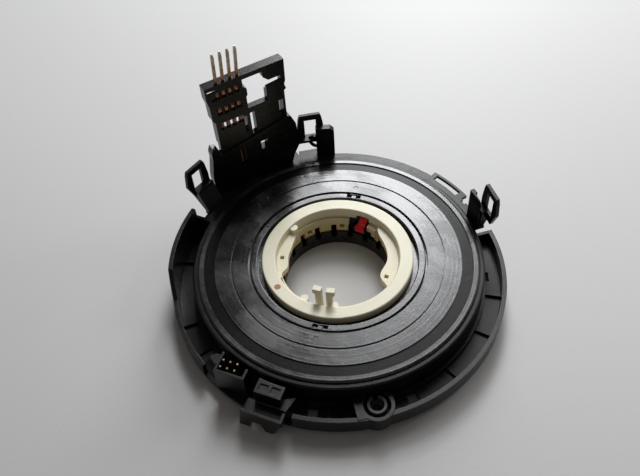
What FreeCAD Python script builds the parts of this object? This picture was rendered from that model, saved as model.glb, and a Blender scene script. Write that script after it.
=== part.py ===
"""Steering column clock spring: a flat cable wound in a round cassette, with a contact tower.

The cassette lies on the seat plane, Z = 0, with the bore's axis on Z and its face disc upwards.
A rotor and its hub sleeve turn inside a drum. The drum stands in a carrier, which has a tray and
a shroud round the near side, and a flange with snap loops and the contact tower on the far side.
"""
import FreeCAD, Part
import math
import os

os.makedirs("parts", exist_ok=True)

# Driving dimensions, in millimetres and degrees.
# Azimuths are counted from +X towards +Y, and heights from the seat plane.

# Gaps and fits
running_gap = 0.4
seat_clearance = 0.1

# Cassette stack
face_height = 16.5
cover_thickness = 1.8
film_thickness = 0.2

# Rotor
bore_radius = 20.6
collar_wall = 1.3
collar_height = 6.6
collar_slot_floor = 3.7
collar_slots = 20
collar_slot_width = 2.2
hub_width = 6.0
hub_drum_wall = 2.2
hub_pad = 2.0
rotor_rim_wall = 1.2
rotor_recess = 4.2
rotor_web = 1.4
rotor_ribs = 8
rotor_rib_thickness = 1.2
rotor_rib_inset = 0.6
drive_hole_radius = 1.0
drive_hole_azimuths = (110.0, 290.0)

# Hub sleeve
sleeve_overhang = 1.6
sleeve_proud = 1.0
sleeve_flange = 1.3
sleeve_skirt_wall = 1.2
sleeve_mouth_step = 2.5
sleeve_mouth_round = 0.5
sleeve_edge_round = 0.5
sleeve_throat_step = 0.9
sleeve_throat_wall = 1.4
sleeve_funnel_wall = 0.9
sleeve_throat_top = 12.9
sleeve_bead = 0.9
sleeve_lip = 0.5
sleeve_lip_rise = 0.7
finger_gap_height = 3.3
finger_hole_width = 1.9
finger_hole_height = 1.7
finger_hole_rise = 1.7
post_azimuths = (247.0, 258.0)
post_reach = 1.2
post_rise = 6.6
post_width = 2.2
post_depth = 2.0
post_hook = 0.9
post_hook_height = 1.8
knob_azimuths = (135.0, 233.5, 263.0)
knob_radius = 1.5
pad_low = 12.3
pad_high = 14.9
pad_sink = 1.3
left_pad_curve = ((-0.3, 134.0), (1.6, 140.0), (2.6, 150.0), (3.0, 158.0), (2.9, 169.0),
                  (3.0, 180.0), (2.5, 186.0), (0.9, 190.0), (-0.3, 197.0))
right_pad_curve = ((-0.3, -40.0), (1.4, -37.5), (3.0, -35.0), (4.1, -30.0), (3.9, -18.0),
                   (3.1, -9.0), (2.6, 8.0), (2.3, 22.0), (1.6, 33.0), (-0.3, 40.0))
pad_hole_side = 1.5
left_pad_hole = (0.6, 172.0)
right_pad_hole = (1.7, -30.0)
lug_start = 41.0
lug_stop = 52.0
lug_step = 5.5
lug_low = 10.8
lug_top = 13.4
lug_reach = 0.9

# Bearing ring round the hub
ring_gap = 1.8
ring_width = 2.7
ring_top_drop = 0.1
ring_lip_thickness = 1.0
ring_lip_height = 12.9
ring_foot_overlap = 1.8
ring_window_azimuths = (73.5, 254.5)
ring_window_width = 5.6
ring_window_depth = 1.0
ring_window_wall = 0.4
ring_window_tab = 1.7
ring_edge_round = 0.35

# Face cover
cover_gap = 0.7
cover_radius = 52.2
groove_inset = 6.2
groove_width = 0.6
groove_depth = 0.5
band_rim = 2.2
band_width = 4.1
band_depth = 0.45
rim_round = 0.7
mark_radius = 1.0
mark_depth = 0.15
mark_places = ((2.6, 73.5), (2.9, 248.0), (2.9, 254.0))

# Drum
drum_wall = 1.7
drum_fit = 0.3
drum_top_drop = 1.0
drum_top_round = 0.6
ledge_width = 1.4
ledge_thickness = 0.8

# Carrier and its flange
jacket_fit = 0.1
jacket_wall = 1.1
jacket_low_top = 6.5
carrier_bottom = 2.4
carrier_ledge = 0.5
carrier_ledge_thickness = 0.8
flange_width = 2.2
flange_thickness = 1.3
flange_drop = 1.6
latch_start = 26.5
latch_stop = 43.5
latch_reach = 2.6
latch_window_wall = 1.0
latch_tooth_start = 23.4

# Tray and outer shroud
tray_width = 5.8
tray_floor = 1.8
tray_start = 152.5
tray_stop = 372.0
end_wall = 1.4
hole_width = 3.6
hole_length = 4.8
hole_azimuths = (211.5, 256.8, 291.5)
rib_azimuths = (168.0, 197.0, 262.5, 308.0, 328.0, 345.0)
rib_thickness = 0.8
rib_height = 1.2
slot_azimuth = 354.0
slot_width = 1.6
slot_length = 4.2
shroud_wall = 1.6
shroud_fit = 0.05
shroud_bottom = 2.6
shroud_top = 9.2
high_wall_top = 18.3
high_wall_stop = 181.0
ramp_stop = 188.0
shroud_low_top = 4.0
shroud_low_start = 217.0
shroud_gap_start = 236.5
shroud_gap_stop = 251.5
shroud_sill_top = 3.0

# Screw boss
boss_azimuth = 278.3
boss_inset = 3.2
boss_radius = 5.9
boss_cup_radius = 4.6
boss_top = 9.4
boss_floor = 1.6
boss_plate_left = -5.4
boss_plate_right = 7.5
boss_plate_thickness = 1.2
bush_radius = 3.3
bush_bore_radius = 2.4
bush_proud = 0.2
bush_slot = 1.8
screw_hole_radius = 1.75

# Snap loops
loop_rise = 18.8
loop_sill = 7.8
loop_strap = 2.6
loop_thickness = 1.3
loop_top_half = 4.2
loop_shoulder_half = 4.9
loop_shoulder_drop = 2.0
loop_wide_half = 5.65
loop_wide_drop = 7.5
loop_opening_half = 2.45
loop_low = 4.2
left_loop_spread = 23.82
left_loop_reach = 6.3
left_loop_centre = -6.8
rear_loop_spread = 22.11
rear_loop_reach = 4.3
rear_loop_centre = 1.1
right_loop_azimuth = 13.0
right_loop_reach = 2.8
right_loop_centre = 3.2
right_loop_drop = 1.3
brace_free_half = 2.8
right_brace_free_half = -0.6
shelf_reach = 1.9
shelf_thickness = 1.0
rear_shelf_reach = 2.7
rear_shelf_left = -3.5
brace_inset = 0.3
brace_depth = 2.0
pad_margin = 0.6

# Guard posts and the eye beside the rear loop
guard_width = 7.6
guard_wall = 0.8
guard_shoulder = 1.6
rear_guard_spread = 7.48
rear_guard_centre = -0.4
rear_guard_rise = 13.0
rear_guard_reach = 1.6
rear_guard_depth = 2.6
right_guard_azimuth = 20.0
right_guard_centre = 5.6
right_guard_rise = 12.2
right_guard_reach = -0.9
right_guard_depth = 1.6
guard_clearance = 0.3
eye_across = 2.1
eye_rise = 6.6
eye_reach = 2.0
eye_radius = 2.9
eye_hole_radius = 1.8
eye_thickness = 0.9
eye_turn = 38.0
eye_limit = 2.7

# Contact tower
tower_azimuth = 117.7
tower_reach = 0.6
tower_depth = 2.6
tower_rise = 49.6
tower_left = -18.4
tower_right = 13.3
tower_cap = 1.9
tower_block_depth = 4.0
base_step = 0.8
base_left = -23.2
base_right = 12.4
base_rise = 17.8
base_depth = 3.6
window_left = -3.4
window_right = 5.0
window_sill_rise = 34.2
tower_wall = 0.8
contacts_sill_rise = 22.0
rib_places = (-0.6, 6.0)
tower_rib_width = 1.2
tower_rib_rise = 33.0
stile_width = 4.0
stile_sill_rise = 20.0
side_slot_length = 6.4
side_slot_sill_rise = 38.6
side_slot_height = 4.5
top_slot = (-18.3, -15.1, 46.9, 47.9)
top_slot_back_rise = 43.6
base_slot = (-9.9, -7.0, 8.6, 16.7)

# The tower's edges, each as steps: how far outside the named side, and the rise there
base_right_steps = ((1.2, 2.0), (4.1, 6.8), (3.4, 15.3), (3.2, 18.1), (2.4, 20.0), (1.3, 22.6),
                    (0.0, 23.3))
base_left_steps = ((0.0, 17.8), (-0.4, 21.6), (-2.5, 22.4), (-3.4, 20.2), (-3.4, 17.0),
                   (-4.6, 9.5), (-4.8, 7.6))
plate_right_steps = ((-0.9, 35.7), (0.0, 36.2), (-0.6, 38.4), (0.0, 40.0), (0.2, 49.6))
plate_left_steps = ((-0.7, 49.6), (-0.7, 44.0), (0.0, 40.9), (0.1, 34.8), (1.1, 33.2))
window_right_steps = ((0.0, 34.2), (0.0, 40.8), (6.4, 41.4), (6.4, 43.1), (1.3, 43.1),
                      (-0.6, 44.9), (-0.9, 46.0), (-0.9, 47.7))
window_left_steps = ((-0.8, 47.7), (-0.8, 44.5), (0.6, 43.2), (0.6, 40.4), (0.0, 39.5))
through_slots = ((-5.7, -4.4, 23.3, 31.1), (-3.1, -1.1, 21.4, 31.7), (-0.7, 2.4, 12.4, 16.5),
                 (9.6, 11.5, 23.8, 31.9))
peg_radius = 0.8
peg_reach = 0.7
peg_across = -15.9
peg_rise = 42.9
contact_half = 1.05

# Terminals
terminal_count = 4
terminal_pitch = 2.6
terminal_first = -14.6
terminal_bend_rise = 30.0
terminal_setback = 1.3
terminal_width = 1.5
terminal_thickness = 0.64
pin_width = 1.15
pin_rise = 61.7
pin_pitch = 2.95
pin_first = -13.25
pin_taper = 1.6
terminal_foot = 8.4
terminal_clearance = 0.03
row_rises = (44.8, 37.7, 30.6)
row_height = 3.2

# Outer lead block, below the tower
lead_block_left = -16.4
lead_block_right = -4.0
lead_block_reach = 3.8
lead_block_bottom = 7.4
lead_neck_left = -11.2
lead_neck_right = -7.2

# Connector on the shroud
connector_azimuth = 245.8
header_left = 12.1
header_right = 23.3
header_inset = 3.0
header_wall = 0.9
header_floor = 1.2
header_top = 15.9
header_lug_reach = 3.4
header_lug_inset = 2.8
header_lug_depth = 3.5
header_first_pin = 16.3
header_pin_pitch = 2.6
header_pin_inset = 1.2
header_rows = 2
header_columns = 3
header_pin_side = 0.64
header_pin_top = 16.3
pin_hole_clearance = 0.03
cover_box_left = -1.8
cover_box_right = 7.8
cover_box_inset = 1.0
cover_box_top = 14.5
cover_box_recess = 0.5
cover_box_margin = 1.1
bracket_reach = 5.0
bracket_left = -4.2
bracket_right = 10.4
bracket_top = 10.4
bracket_wall = 1.0
bracket_shelf_top = 8.6
fork_knee_across = -1.5
fork_knee_height = 2.4
fork_foot = 0.1
fork_foot_left = -0.1
fork_foot_right = 12.1
fork_notch_half_foot = 2.8
fork_notch_half_top = 1.7
fork_notch_centre = 5.3
fork_notch_top = 4.8
lip_reach = 0.7
lip_top = 11.0
lip_thickness = 0.7
lip_left = -4.3
lip_right = 6.5
fin_reach = 5.6
fin_inset = 5.2
fin_thickness = 1.0

# Flat cable
cable_thickness = 0.3
cable_half_turns = 13
cable_inner_gap = 2.7
cable_outer_gap = 1.0
cable_gap = 0.25

# Inner lead block, on the hub drum
inner_block_width = 6.0
inner_block_depth = 2.2

# Wheel side socket
socket_azimuth = 200.0
socket_reach = 12.4
socket_length = 15.0
socket_width = 6.6
socket_wall = 0.9
socket_mouth = 0.4
socket_pins = 4
socket_pin_pitch = 3.0
socket_pin_side = 0.64
socket_pin_tip = 1.2

# Lock tab, its guide on the rotor and its gap in the throat
tab_azimuth = 58.5
tab_width = 3.8
tab_neck = 3.2
tab_foot_across = -1.1
tab_head_across = 0.3
tab_low = 7.9
tab_shoulder = 10.9
tab_high = 14.9
tab_inset = 0.05
tab_thickness = 1.2
tab_lean = 1.8
tab_clearance = 0.3
tab_guide_half = 12.5
tab_guide_top = 8.4
tab_gap_half = 15.2
tab_gap_top = 13.8

ORIGIN = FreeCAD.Vector(0, 0, 0)
UP = FreeCAD.Vector(0, 0, 1)
FULL_TURN = 360.0
BEYOND = 1.0

# Sizes worked out from the driving dimensions
collar_radius = bore_radius + collar_wall
hub_drum_radius = bore_radius + hub_width
hub_drum_inner = hub_drum_radius - hub_drum_wall
drive_hole_distance = (collar_radius + hub_drum_inner) / 2
rotor_top = rotor_recess + rotor_web
sleeve_radius = hub_drum_radius + sleeve_overhang
sleeve_mouth_radius = bore_radius + sleeve_mouth_step
sleeve_throat_radius = bore_radius + sleeve_throat_step
post_radius = sleeve_throat_radius - post_reach
tab_inner_radius = bore_radius + tab_inset
tab_reach = math.hypot(tab_inner_radius + tab_thickness, tab_width / 2 - tab_foot_across)
sleeve_top = face_height + sleeve_proud
sleeve_flange_low = sleeve_top - sleeve_flange
sleeve_bottom = collar_height + seat_clearance
ring_lip_top = ring_lip_height + ring_lip_thickness
ring_lip_radius = hub_drum_radius + running_gap
ring_mouth_radius = sleeve_radius + ring_gap
ring_outer_radius = ring_mouth_radius + ring_width
cover_inner_radius = ring_outer_radius + cover_gap
ring_foot_radius = cover_inner_radius + ring_foot_overlap
cover_underside = face_height - cover_thickness
groove_radius = cover_inner_radius + groove_inset
band_outer_radius = cover_radius - band_rim
band_inner_radius = band_outer_radius - band_width
drum_inner_radius = cover_radius + drum_fit
drum_radius = drum_inner_radius + drum_wall
drum_bottom = rotor_top + running_gap
drum_top = face_height - drum_top_drop
carrier_inner_radius = drum_radius + jacket_fit
jacket_radius = carrier_inner_radius + jacket_wall
rotor_rim_radius = carrier_inner_radius - carrier_ledge - running_gap
socket_distance = hub_drum_radius + socket_reach
flange_radius = jacket_radius + flange_width
latch_radius = flange_radius + latch_reach
flange_top = face_height - flange_drop
flange_bottom = flange_top - flange_thickness
tray_top = carrier_bottom + tray_floor
tray_radius = jacket_radius + tray_width
tray_clear_radius = jacket_radius + seat_clearance
shroud_inner_radius = tray_radius + shroud_fit
shroud_radius = shroud_inner_radius + shroud_wall
boss_distance = tray_radius - boss_inset
left_loop_azimuth = tower_azimuth + math.degrees(left_loop_spread / tray_radius)
rear_loop_azimuth = tower_azimuth - math.degrees(rear_loop_spread / tray_radius)
rear_guard_azimuth = rear_loop_azimuth - math.degrees(rear_guard_spread / tray_radius)
left_loop_front = jacket_radius + left_loop_reach
rear_loop_front = jacket_radius + rear_loop_reach
right_loop_front = jacket_radius + right_loop_reach
brace_foot = jacket_radius + brace_inset
rear_guard_front = jacket_radius + rear_guard_reach
right_guard_front = jacket_radius + right_guard_reach
eye_front = jacket_radius + eye_reach
tower_front = jacket_radius + tower_reach
base_front = tower_front - base_step
terminal_depth = tower_front + terminal_setback
lead_block_front = jacket_radius + lead_block_reach
header_front = tray_radius - header_inset
header_lug_front = header_front - header_lug_inset
header_lug_back = header_lug_front - header_lug_depth
header_first_row = header_front - header_wall - header_pin_inset
cover_box_front = tray_radius - cover_box_inset
bracket_front = tray_radius + bracket_reach
lip_front = tray_radius + lip_reach
fin_back = tray_radius - fin_inset
tower_top = face_height + tower_rise
base_top = face_height + base_rise
cable_bottom = drum_bottom + film_thickness + 2 * cable_gap
cable_top = ring_lip_height - cable_gap
cable_inner_radius = hub_drum_radius + cable_inner_gap
cable_outer_radius = cover_radius - cable_outer_gap
inner_block_reach = hub_drum_radius + inner_block_depth
lead_neck_reach = cable_outer_radius + seat_clearance
lead_neck_middle = (lead_neck_left + lead_neck_right) / 2
cable_end_azimuth = tower_azimuth + math.degrees(math.atan(-lead_neck_middle / lead_neck_reach))
inner_block_azimuth = cable_end_azimuth - 180.0
terminal_numbers = range(terminal_count)
terminal_places = [terminal_first + terminal_pitch * i for i in terminal_numbers]
pin_places = [pin_first + pin_pitch * i for i in terminal_numbers]
terminal_bend = face_height + terminal_bend_rise
pin_top = face_height + pin_rise
boss_x = boss_distance * math.cos(math.radians(boss_azimuth))
boss_y = boss_distance * math.sin(math.radians(boss_azimuth))


def revolved(points, start=0.0, stop=FULL_TURN):
    """Turns a closed outline of (radius, height) points about the bore's axis."""
    corners = [FreeCAD.Vector(radius, 0, height) for radius, height in points]
    face = Part.Face(Part.makePolygon(corners + corners[:1]))
    solid = face.revolve(ORIGIN, UP, stop - start)
    solid.rotate(ORIGIN, UP, start)
    return solid


def ring(inner, outer, low, high, start=0.0, stop=FULL_TURN):
    """A ring, or a sector of one, of rectangular section."""
    return revolved([(inner, low), (outer, low), (outer, high), (inner, high)], start, stop)


def block(x_low, x_high, y_low, y_high, z_low, z_high):
    """A box given by its limits."""
    corner = FreeCAD.Vector(x_low, y_low, z_low)
    return Part.makeBox(x_high - x_low, y_high - y_low, z_high - z_low, corner)


def pillar(radius, low, high, x=0.0, y=0.0):
    """An upright cylinder."""
    return Part.makeCylinder(radius, high - low, FreeCAD.Vector(x, y, low), UP)


def at_azimuth(shape, azimuth):
    """Turns a shape so that its local Y points outwards at the azimuth."""
    turned = shape.copy()
    turned.rotate(ORIGIN, UP, azimuth - 90.0)
    return turned


def upright_plate(outline, y_low, y_high):
    """A plate whose outline of (across, height) points stands facing the axis."""
    corners = [FreeCAD.Vector(across, y_low, height) for across, height in outline]
    face = Part.Face(Part.makePolygon(corners + corners[:1]))
    return face.extrude(FreeCAD.Vector(0, y_high - y_low, 0))


def joined(first, *others):
    """One solid from shapes that touch or overlap."""
    return first.fuse(list(others)).removeSplitter()


def circle_edges(shape, radius, height):
    """The circular edges of a shape about the bore's axis, at a radius and height."""
    found = []
    for edge in shape.Edges:
        if not isinstance(edge.Curve, Part.Circle):
            continue
        same_radius = abs(edge.Curve.Radius - radius) < 1e-3
        same_height = abs(edge.CenterOfMass.z - height) < 1e-3
        if same_radius and same_height:
            found.append(edge)
    return found


def make_rotor():
    """The rotor: a ribbed disc on the wheel side, a slotted collar round the bore, the hub drum."""
    rim_inner = rotor_rim_radius - rotor_rim_wall
    body = revolved([
        (bore_radius, 0.0),
        (hub_drum_radius, 0.0),
        (hub_drum_radius, rotor_recess),
        (rim_inner, rotor_recess),
        (rim_inner, 0.0),
        (rotor_rim_radius, 0.0),
        (rotor_rim_radius, rotor_top),
        (hub_drum_radius, rotor_top),
        (hub_drum_radius, sleeve_flange_low),
        (hub_drum_inner, sleeve_flange_low),
        (hub_drum_inner, hub_pad),
        (collar_radius, hub_pad),
        (collar_radius, collar_height),
        (bore_radius, collar_height),
    ])
    rib = block(-rotor_rib_thickness / 2, rotor_rib_thickness / 2, hub_drum_radius - BEYOND,
                rim_inner + rotor_rim_wall / 2, rotor_rib_inset, rotor_recess + rotor_web / 2)
    rib_step = FULL_TURN / rotor_ribs
    guide_inner = tab_reach + tab_clearance
    guide_outer = guide_inner + collar_wall
    guide = revolved([
        (collar_radius - collar_wall / 2, hub_pad / 2),
        (guide_outer, hub_pad / 2),
        (guide_outer, tab_guide_top),
        (guide_inner, tab_guide_top),
        (guide_inner, collar_height),
        (collar_radius - collar_wall / 2, collar_height),
    ], tab_azimuth - tab_guide_half, tab_azimuth + tab_guide_half)
    body = joined(body, guide, *[at_azimuth(rib, rib_step * i) for i in range(rotor_ribs)])
    slot = block(-collar_slot_width / 2, collar_slot_width / 2, bore_radius - BEYOND,
                 collar_radius + BEYOND, collar_slot_floor, collar_height + BEYOND)
    slot_step = FULL_TURN / collar_slots
    cuts = [at_azimuth(slot, slot_step * i) for i in range(collar_slots)]
    for azimuth in drive_hole_azimuths:
        hole = pillar(drive_hole_radius, -BEYOND, hub_pad + BEYOND, 0.0, drive_hole_distance)
        cuts.append(at_azimuth(hole, azimuth))
    for across in socket_pin_places():
        side = socket_pin_side / 2 + pin_hole_clearance
        hole = block(across - side, across + side, socket_distance - side,
                     socket_distance + side, rotor_recess - BEYOND, rotor_top + BEYOND)
        cuts.append(at_azimuth(hole, socket_azimuth))
    return body.cut(cuts)


def make_hub_sleeve():
    """The hub sleeve: a flanged funnel with fingers, guide pads and two hooked posts."""
    skirt_inner = sleeve_radius - sleeve_skirt_wall
    throat_outer = sleeve_throat_radius + sleeve_throat_wall
    funnel_outer = sleeve_mouth_radius + sleeve_funnel_wall
    skirt_bottom = ring_lip_top + running_gap
    body = revolved([
        (sleeve_mouth_radius, sleeve_top),
        (sleeve_radius, sleeve_top),
        (sleeve_radius, skirt_bottom),
        (skirt_inner, skirt_bottom),
        (skirt_inner, sleeve_flange_low),
        (funnel_outer, sleeve_flange_low),
        (funnel_outer, sleeve_throat_top - sleeve_throat_wall),
        (throat_outer, sleeve_throat_top - 2 * sleeve_throat_wall),
        (throat_outer, sleeve_bottom),
        (sleeve_throat_radius, sleeve_bottom),
        (sleeve_throat_radius, sleeve_throat_top + sleeve_lip_rise),
        (sleeve_throat_radius + sleeve_lip, sleeve_throat_top + sleeve_lip_rise),
        (sleeve_throat_radius + sleeve_bead, sleeve_throat_top),
    ])
    body = body.makeFillet(sleeve_edge_round, circle_edges(body, sleeve_radius, sleeve_top))
    body = body.makeFillet(sleeve_mouth_round,
                           circle_edges(body, sleeve_mouth_radius, sleeve_top))
    finger_gap = block(-collar_slot_width / 2, collar_slot_width / 2,
                       sleeve_throat_radius - BEYOND, throat_outer + BEYOND,
                       sleeve_bottom - BEYOND, sleeve_bottom + finger_gap_height)
    hole_low = sleeve_bottom + finger_hole_rise
    finger_hole = block(-finger_hole_width / 2, finger_hole_width / 2,
                        sleeve_throat_radius - BEYOND, throat_outer + BEYOND,
                        hole_low, hole_low + finger_hole_height)
    step = FULL_TURN / collar_slots
    cuts = [at_azimuth(finger_gap, step * i) for i in range(collar_slots)]
    cuts += [at_azimuth(finger_hole, step * (i + 0.5)) for i in range(0, collar_slots, 2)]
    cuts.append(ring(sleeve_throat_radius - BEYOND, funnel_outer + BEYOND, sleeve_bottom - BEYOND,
                     tab_gap_top, tab_azimuth - tab_gap_half, tab_azimuth + tab_gap_half))
    neck_room = block(tab_foot_across - tab_width / 2 - tab_clearance,
                      tab_head_across + tab_neck / 2 + tab_clearance,
                      sleeve_throat_radius - BEYOND, funnel_outer + BEYOND,
                      tab_gap_top - BEYOND, tab_high + running_gap)
    cuts.append(at_azimuth(neck_room, tab_azimuth))
    body = body.cut(cuts)
    lug_inner = sleeve_throat_radius - lug_reach
    extras = [
        ring(lug_inner, throat_outer, lug_low, lug_top, lug_start, lug_stop),
        ring(lug_inner, throat_outer, lug_low - finger_hole_height, lug_top, lug_start,
             lug_start + lug_step),
    ]
    for azimuth, hook_side in zip(post_azimuths, (1, -1)):
        extras.append(at_azimuth(make_post(hook_side), azimuth))
    for azimuth in knob_azimuths:
        knob = pillar(knob_radius, sleeve_bottom + finger_gap_height, sleeve_top - sleeve_flange / 2,
                      0.0, sleeve_throat_radius + sleeve_throat_wall / 2)
        extras.append(at_azimuth(knob, azimuth))
    return joined(body, make_guide_pad(left_pad_curve, left_pad_hole),
                  make_guide_pad(right_pad_curve, right_pad_hole), *extras)


def throat_point(reach, azimuth):
    """A point at the guide pads' underside, some way inside the throat's wall."""
    radius = sleeve_throat_radius - reach
    angle = math.radians(azimuth)
    return FreeCAD.Vector(radius * math.cos(angle), radius * math.sin(angle), pad_low)


def make_guide_pad(curve, hole_place):
    """A ledge that reaches into the throat, with a smooth edge and a square hole."""
    start = curve[0][1]
    stop = curve[-1][1]
    edge = Part.BSplineCurve()
    edge.interpolate([throat_point(reach, azimuth) for reach, azimuth in curve])
    back = Part.Arc(throat_point(-pad_sink, stop), throat_point(-pad_sink, (start + stop) / 2),
                    throat_point(-pad_sink, start))
    ends = [Part.makeLine(throat_point(curve[-1][0], stop), throat_point(-pad_sink, stop)),
            Part.makeLine(throat_point(-pad_sink, start), throat_point(curve[0][0], start))]
    outline = Part.Wire([edge.toShape(), ends[0], back.toShape(), ends[1]])
    pad = Part.Face(outline).extrude(FreeCAD.Vector(0, 0, pad_high - pad_low))
    half = pad_hole_side / 2
    hole_reach, hole_azimuth = hole_place
    hole_radius = sleeve_throat_radius - hole_reach
    hole = block(-half, half, hole_radius - half, hole_radius + half, pad_low - BEYOND,
                 pad_high + BEYOND)
    return pad.cut(at_azimuth(hole, hole_azimuth))


def make_post(hook_side):
    """One hooked post of the hub sleeve, rising from the throat past the flange."""
    half = post_width / 2
    low = sleeve_bottom + finger_gap_height
    high = face_height + post_rise
    inner = post_radius - post_depth / 2
    outer = post_radius + post_depth / 2
    stem = block(-half, half, inner, outer, low, high)
    root = block(-half, half, inner, sleeve_throat_radius + sleeve_throat_wall / 2,
                 low, sleeve_throat_top)
    tip = hook_side * (half + post_hook)
    hook = upright_plate([
        (0.0, high - 2 * post_hook_height),
        (tip, high - post_hook_height),
        (tip, high),
        (0.0, high),
    ], inner, outer)
    return joined(stem, root, hook)


def make_bearing_ring():
    """The bearing ring: snapped under the face cover, its lip traps the hub sleeve."""
    top = face_height - ring_top_drop
    body = revolved([
        (ring_lip_radius, ring_lip_height),
        (ring_foot_radius, ring_lip_height),
        (ring_foot_radius, cover_underside),
        (ring_outer_radius, cover_underside),
        (ring_outer_radius, top),
        (ring_mouth_radius, top),
        (ring_mouth_radius, ring_lip_top),
        (ring_lip_radius, ring_lip_top),
    ])
    body = body.makeFillet(ring_edge_round, circle_edges(body, ring_outer_radius, top)
                           + circle_edges(body, ring_mouth_radius, top))
    pocket = block(-ring_window_width / 2, ring_window_width / 2,
                   ring_mouth_radius + ring_window_wall, ring_outer_radius - ring_window_wall,
                   top - ring_window_depth, top + BEYOND)
    tab = block(-ring_window_tab / 2, ring_window_tab / 2, ring_mouth_radius + ring_window_wall,
                ring_outer_radius - ring_window_wall, top - ring_window_depth - BEYOND,
                top - ring_window_depth / 3)
    for azimuth in ring_window_azimuths:
        body = body.cut(at_azimuth(pocket, azimuth))
        body = joined(body, at_azimuth(tab, azimuth))
    return body


def make_face_cover():
    """The face cover: a glossy disc with a fine groove and a sunk matt band inside its rim."""
    body = revolved([
        (cover_inner_radius, cover_underside),
        (cover_radius, cover_underside),
        (cover_radius, face_height),
        (band_outer_radius, face_height),
        (band_outer_radius, face_height - band_depth),
        (band_inner_radius, face_height - band_depth),
        (band_inner_radius, face_height),
        (groove_radius + groove_width / 2, face_height),
        (groove_radius + groove_width / 2, face_height - groove_depth),
        (groove_radius - groove_width / 2, face_height - groove_depth),
        (groove_radius - groove_width / 2, face_height),
        (cover_inner_radius, face_height),
    ])
    body = body.makeFillet(rim_round, circle_edges(body, cover_radius, face_height))
    marks = []
    for inset, azimuth in mark_places:
        mark = pillar(mark_radius, face_height - mark_depth, face_height + BEYOND, 0.0,
                      cover_inner_radius + inset)
        marks.append(at_azimuth(mark, azimuth))
    return body.cut(marks)


def lead_window():
    """The room for the outer lead block's neck through the drum and the carrier."""
    neck = block(lead_neck_left - seat_clearance, lead_neck_right + seat_clearance,
                 lead_neck_reach - BEYOND, lead_block_front, cable_bottom - seat_clearance,
                 cable_top + seat_clearance)
    return at_azimuth(neck, tower_azimuth)


def make_drum():
    """The drum: the cassette's outer wall, with a ledge that carries the face cover."""
    ledge_inner = drum_inner_radius - ledge_width
    body = revolved([
        (drum_inner_radius, drum_bottom),
        (drum_radius, drum_bottom),
        (drum_radius, drum_top),
        (drum_inner_radius, drum_top),
        (drum_inner_radius, cover_underside),
        (ledge_inner, cover_underside),
        (ledge_inner, cover_underside - ledge_thickness),
        (drum_inner_radius, cover_underside - ledge_thickness - ledge_width / 2),
    ])
    body = body.makeFillet(drum_top_round, circle_edges(body, drum_radius, drum_top))
    return body.cut(lead_window())


def flange_pad(left, right, front, azimuth):
    """A pad that widens the carrier's flange under an upright piece."""
    pad = block(left, right, carrier_inner_radius - BEYOND, front, flange_bottom, flange_top)
    return at_azimuth(pad, azimuth)


def make_guard(centre, rise, front, depth, azimuth):
    """A hollow guard post that stands on the flange beside a snap loop."""
    low = flange_top
    high = face_height + rise
    left = centre - guard_width / 2
    right = centre + guard_width / 2
    back = front + depth
    body = upright_plate([
        (left, low), (right, low), (right, high - guard_shoulder),
        (right - guard_shoulder, high), (left, high),
    ], front, back)
    hollow = block(left + guard_wall, right - guard_wall, front + guard_wall, back + BEYOND,
                   low + guard_wall, high - guard_shoulder - guard_wall)
    return at_azimuth(body.cut(hollow), azimuth)


def right_loop_room():
    """The room that the right-hand guard post leaves for the snap loop beside it."""
    room = block(right_loop_centre - loop_wide_half - guard_clearance,
                 right_loop_centre + loop_wide_half + guard_clearance,
                 brace_foot - guard_clearance, right_loop_front, flange_top - BEYOND,
                 face_height + loop_rise)
    return at_azimuth(room, right_loop_azimuth)


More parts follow.
